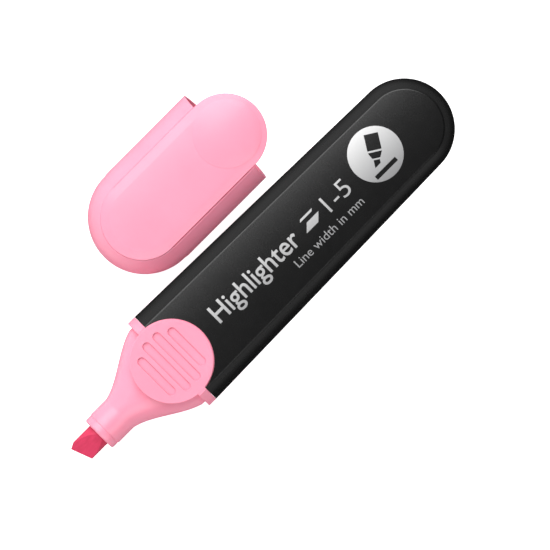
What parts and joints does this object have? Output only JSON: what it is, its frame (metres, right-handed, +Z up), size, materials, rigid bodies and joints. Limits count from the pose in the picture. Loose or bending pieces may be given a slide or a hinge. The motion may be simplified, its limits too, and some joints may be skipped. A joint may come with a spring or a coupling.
{
  "type": "highlighter",
  "caption": "Flat chisel-nib highlighter lying on its back, with its tongued pull-off cap lying beside it.",
  "frame": {"origin": "middle of the base of the pen and cap together, on the surface they lie on", "axes": "+Y along the pen from the nib to the round rear end, +Z up out of the face with the thumb disc, cap on the -X side"},
  "size_m": [0.052, 0.1128, 0.0177],
  "materials": {
    "black_plastic": "satin moulded black",
    "pink_plastic": "satin moulded pastel pink",
    "nib_fibre": "ink-wet pressed fibre",
    "soaked_fibre": "ink-soaked fibre core",
    "film": "thin clear film",
    "seal_plastic": "natural soft plastic"
  },
  "bodies": {
    "pen": {"barrel": "black_plastic", "front_section": "pink_plastic", "nib": "nib_fibre", "reservoir_core": "soaked_fibre", "reservoir_film": "film"},
    "cap": {"cap_shell": "pink_plastic", "inner_cap": "seal_plastic"}
  },
  "joints": [
    {"name": "cap_slide", "type": "slide", "parent": "pen", "child": "cap", "axis": [0, -1, 0], "range_m": [0, 0.074]}
  ]
}
